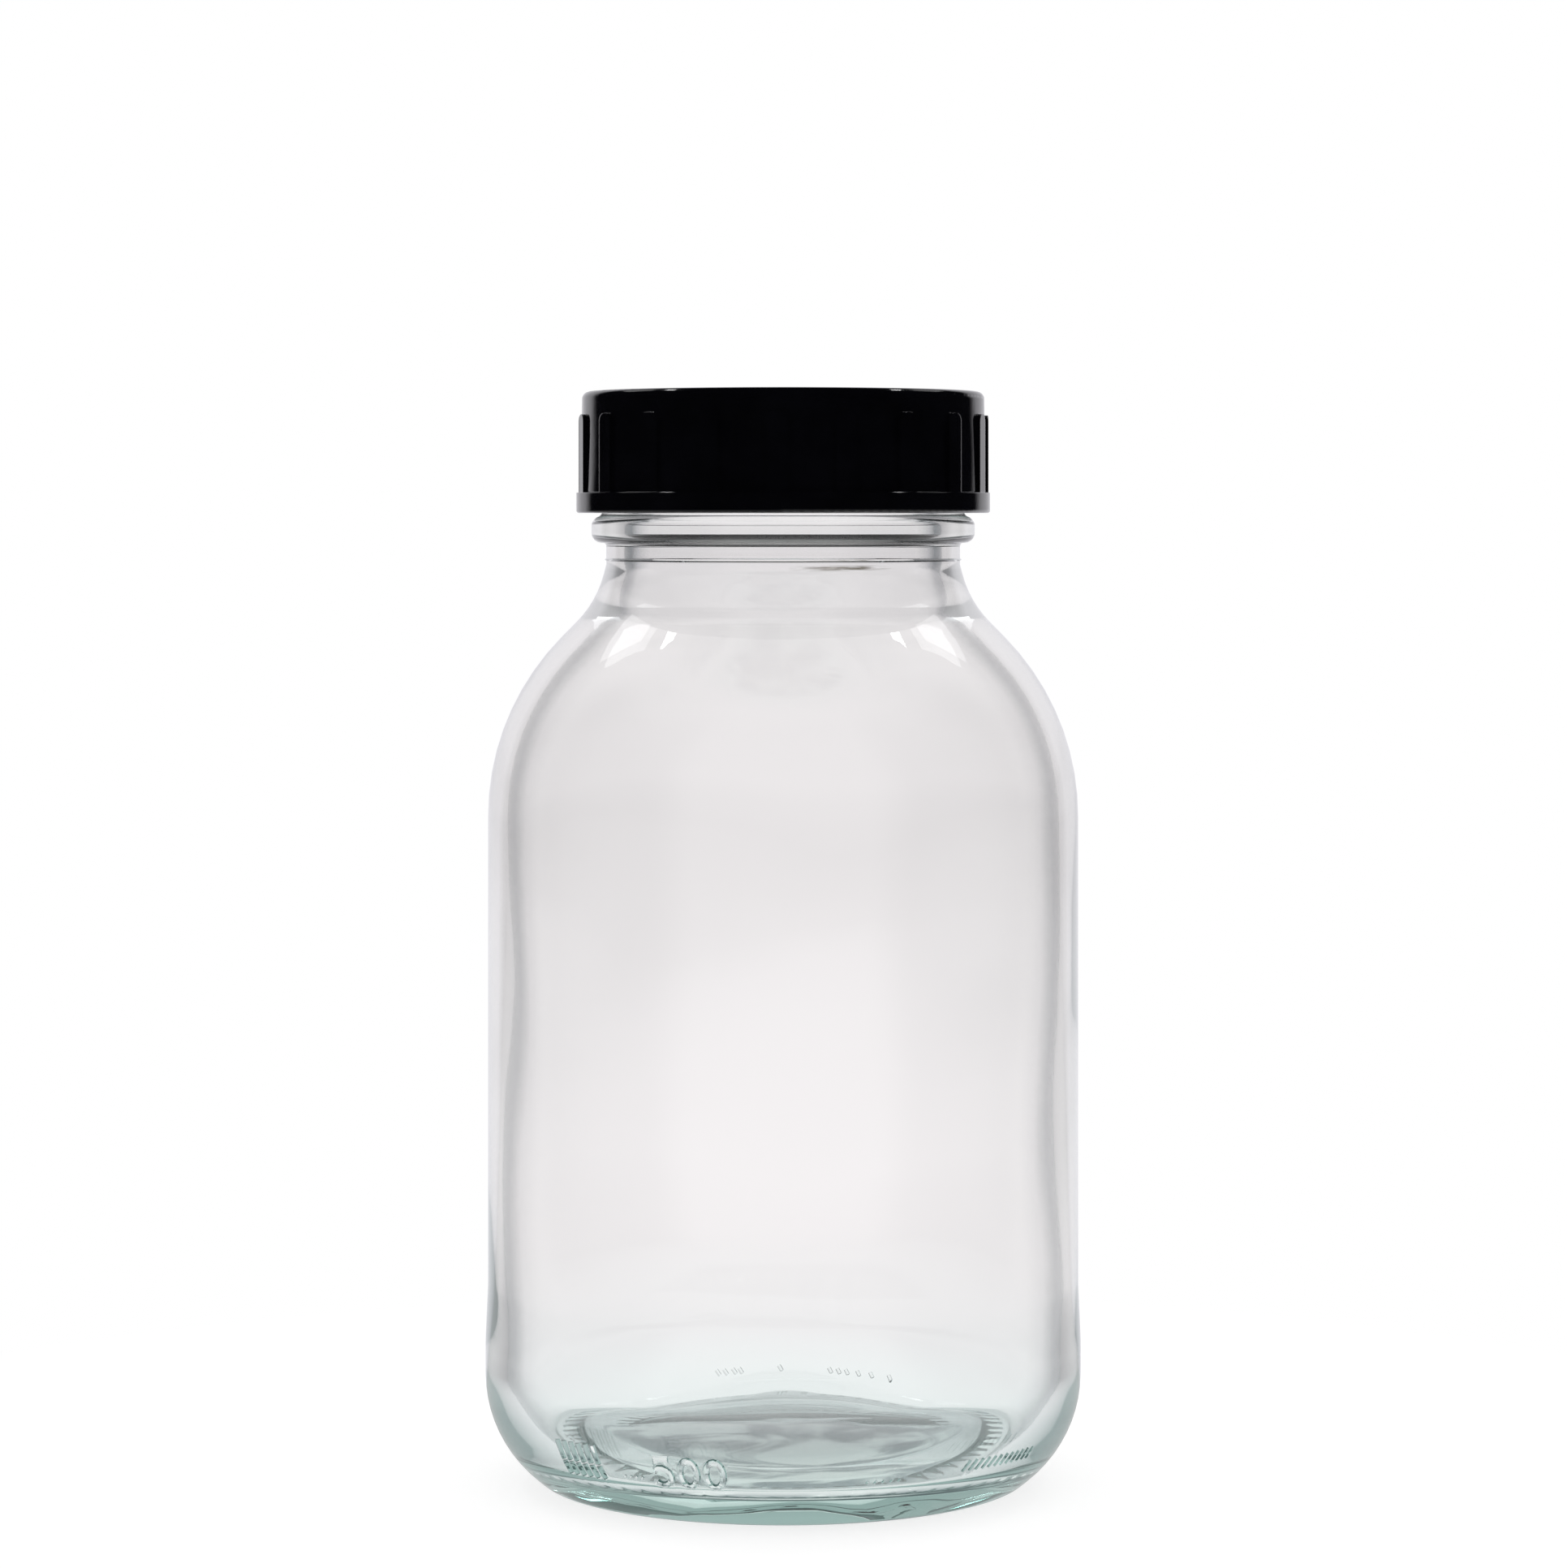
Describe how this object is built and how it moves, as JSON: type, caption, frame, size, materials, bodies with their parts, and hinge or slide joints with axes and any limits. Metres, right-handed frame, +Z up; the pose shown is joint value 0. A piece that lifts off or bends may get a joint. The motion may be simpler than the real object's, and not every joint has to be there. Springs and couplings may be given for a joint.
{
  "type": "wide-mouth jar",
  "caption": "Clear glass wide-mouth jar with a rounded shoulder and heel, closed by a black ribbed screw cap with a flange.",
  "frame": {"origin": "centre of the standing ring, on the plane that the jar rests on", "axes": "+Z up along the jar's axis, through the mouth; -Y is the side with the capacity number, +X to its right"},
  "size_m": [0.082, 0.082, 0.1497],
  "materials": {
    "clear_glass": "polished, faint green in the thick base",
    "black_cap": "glossy moulded",
    "white_liner": "matt"
  },
  "bodies": {
    "glass": {"jar": "clear_glass"},
    "seal": {"cap_liner": "white_liner"},
    "cap": {"screw_cap": "black_cap"}
  },
  "joints": [
    {"name": "cap_lift", "type": "slide", "parent": "glass", "child": "seal", "axis": [0, 0, 1], "range_m": [0, 0.0169]},
    {"name": "cap_turn", "type": "hinge", "parent": "seal", "child": "cap", "pos_m": [0, 0, 0.1414], "axis": [0, 0, 1], "range_deg": [0, 1440]}
  ],
  "couplings": [
    {"joint": "cap_lift", "follows": "cap_turn", "m_per_rad": 0.00066845}
  ]
}
